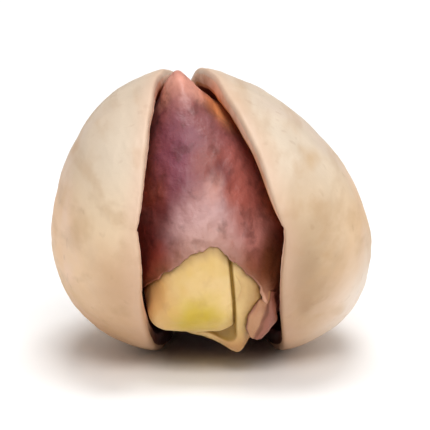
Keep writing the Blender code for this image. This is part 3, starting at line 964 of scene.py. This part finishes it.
CURL_START = np.array([0.00244, -0.0072, 0.00402])
CURL_END = np.array([0.00166, -0.0072, 0.00180])
CURL_ACROSS = np.array([0.00064, 0.00050, -0.00034])
CURL_ROOT_WIDTH = 0.35
CURL_WIDENS = 2.2
CURL_TIP_CURVE = 5
CURL_FOLD = 0.00020
CURL_FOLD_AT = 0.2
CURL_TURNS_BACK = 0.00025
CURL_BOW = 0.00012
CURL_THICKNESS = 0.00008
CURL_ROOT_STEEPNESS = 8
CURL_RIM_STEEPNESS = 6
CURL_CRUMPLE = np.array([0.00005, 0.00003, -0.00004])
CURL_CRUMPLE_WAVE = 0.0011
CURL_ROWS = 60
CURL_COLUMNS = 40
# Brown in the fold's valleys: painted shade
CURL_VALLEY_SHADE = (122, 70, 46)
CURL_LEFT_RIDGE = (184, 134, 96)
CURL_RIGHT_RIDGE = (148, 90, 72)
CURL_BLOTCH = (168, 108, 82)


def curl_mesh():
    """A strip with two lengthwise ridges, each half a sine wave across it, that widens from its root
    and ends in a rounded tip; it thins out to its rim."""
    rows, columns = np.linspace(0, 1, CURL_ROWS), np.linspace(-1, 1, CURL_COLUMNS)
    along, across = np.meshgrid(rows, columns, indexing="ij")
    widening = CURL_ROOT_WIDTH + (1 - CURL_ROOT_WIDTH) * smooth_step(along * CURL_WIDENS)
    taper = np.sqrt(np.clip(1 - along**CURL_TIP_CURVE, 0, 1)) * widening
    middle = CURL_START + (CURL_END - CURL_START) * along[..., None]
    places = middle + CURL_ACROSS * (across * taper)[..., None]
    left_ridge = np.sin(np.pi * np.clip((across + 1) / (1 + CURL_FOLD_AT), 0, 1))
    right_ridge = np.sin(np.pi * np.clip((across - CURL_FOLD_AT) / (1 - CURL_FOLD_AT), 0, 1))
    fold = left_ridge + right_ridge
    curled = CURL_TURNS_BACK * np.clip(across, 0, 1) ** 2 - CURL_BOW * np.sin(np.pi * along)
    places[..., 1] += curled - CURL_FOLD * fold * taper
    places += CURL_CRUMPLE * waves(places, CURL_CRUMPLE_WAVE, seed=51)[..., None]

    from_root = np.clip(along * CURL_ROOT_STEEPNESS, 0, 1)
    rim = np.clip(1 - np.abs(across), 0, 1) * np.clip(1 - along, 0, 1) * from_root
    wall = CURL_THICKNESS * np.sqrt(np.clip(rim * CURL_RIM_STEEPNESS, 0, 1)) / 2
    front, back = places.copy(), places.copy()
    front[..., 1] -= wall
    back[..., 1] += wall
    ids = np.arange(along.size).reshape(along.shape)
    quads = np.stack([ids[:-1, :-1], ids[1:, :-1], ids[1:, 1:], ids[:-1, 1:]], axis=-1).reshape(-1, 4)
    faces = np.concatenate([quads, quads[:, ::-1] + along.size])
    values = {"fold": np.concatenate([fold, fold]), "side": np.concatenate([across, across]) * 0.5 + 0.5}
    return closed_mesh("skin_curl", np.concatenate([front, back]), faces, values)


def curl_material():
    """Painted shade in the valleys, tan on the left ridge and redder on the right one, faintly blotched."""
    material, tree, shader = new_material("skin_curl")
    to_right = between(tree, stored(tree, "side"), 0.45, 0.7)
    on_ridge = between(tree, stored(tree, "fold"), 0.05, 0.6)
    colour = tint(tree, CURL_VALLEY_SHADE, tint(tree, CURL_LEFT_RIDGE, CURL_RIGHT_RIDGE, to_right), on_ridge)
    colour = tint(tree, colour, CURL_BLOTCH, times(tree, blotches(tree, 0.0012, 0.45, 0.7), 0.5))
    tree.links.new(colour, shader.inputs["Base Color"])
    shader.inputs["Roughness"].default_value = 0.5
    bump(tree, shader, blotches(tree, 0.0004, 0.3, 0.7, detail=4.0), 0.00004, 0.6)
    return material


curl = curl_mesh()
curl.data.materials.append(curl_material())
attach(curl, "root")


# Table, light and camera
# A plain white table top under four soft lights, strong ones above and in front and weak ones at both
# sides, and a pale sky that is brighter higher up. The camera looks through a long lens, from a
# little above the nut's open tip.

TABLE_SIZE = 3.0
TABLE_WHITE = (0.96, 0.957, 0.957, 1)
# Each light's name, place, size and power
LIGHTS = (
    ("above", (0.02, 0.08, 0.41), 0.22, 0.98),
    ("front", (0.01, -0.33, 0.34), 0.22, 1.03),
    ("right", (0.34, -0.08, 0.12), 0.20, 0.28),
    ("left", (-0.30, -0.08, 0.16), 0.20, 0.13),
)
SKY_AT_HORIZON = 0.02
SKY_ABOVE = 0.46
SKY_FULL_AT = 0.8
CAMERA_HEIGHT_ANGLE = np.radians(12)
CAMERA_TURN = np.radians(2.7)
CAMERA_DISTANCE = 0.40
VIEW_WIDTH = 0.0195
SENSOR = 36.0
AIM = Vector((0.0002, -0.001, 0.0062))


def table_top():
    """A flat white square round the nut."""
    mesh = bpy.data.meshes.new("table")
    half = TABLE_SIZE / 2
    corners = [(-half, -half, 0), (half, -half, 0), (half, half, 0), (-half, half, 0)]
    mesh.from_pydata(corners, [], [(0, 1, 2, 3)])
    made = bpy.data.objects.new("table", mesh)
    bpy.context.scene.collection.objects.link(made)
    material, _, shader = new_material("table")
    shader.inputs["Base Color"].default_value = TABLE_WHITE
    shader.inputs["Roughness"].default_value = 0.6
    mesh.materials.append(material)
    return made


def soft_light(name, place, size, power):
    """A square light that faces the nut."""
    lamp = bpy.data.lights.new(name, "AREA")
    lamp.size = size
    lamp.energy = power
    made = bpy.data.objects.new(name, lamp)
    made.location = place
    made.rotation_euler = (AIM - Vector(place)).to_track_quat("-Z", "Y").to_euler()
    bpy.context.scene.collection.objects.link(made)


table_top()
for light in LIGHTS:
    soft_light(*light)

world = bpy.data.worlds.new("studio")
world.use_nodes = True
sky = world.node_tree
upward = add(sky, "SeparateXYZ", (0, add(sky, "TexCoord").outputs["Generated"])).outputs["Z"]
heights = (("From Min", 0.0), ("From Max", SKY_FULL_AT))
strengths = (("To Min", SKY_AT_HORIZON), ("To Max", SKY_ABOVE))
brightness = add(sky, "MapRange", ("Value", upward), *heights, *strengths)
sky.links.new(brightness.outputs[0], sky.nodes["Background"].inputs["Strength"])
sky.nodes["Background"].inputs["Color"].default_value = (1, 1, 1, 1)
bpy.context.scene.world = world
bpy.context.scene.view_settings.view_transform = "Standard"

lens = bpy.data.cameras.new("camera")
lens.sensor_width = SENSOR
lens.lens = SENSOR * CAMERA_DISTANCE / VIEW_WIDTH
camera = bpy.data.objects.new("camera", lens)
flat = np.cos(CAMERA_HEIGHT_ANGLE)
away = Vector((-np.sin(CAMERA_TURN) * flat, -np.cos(CAMERA_TURN) * flat, np.sin(CAMERA_HEIGHT_ANGLE)))
camera.location = AIM + away * CAMERA_DISTANCE
camera.rotation_euler = (-away).to_track_quat("-Z", "Y").to_euler()
bpy.context.scene.collection.objects.link(camera)
bpy.context.scene.camera = camera
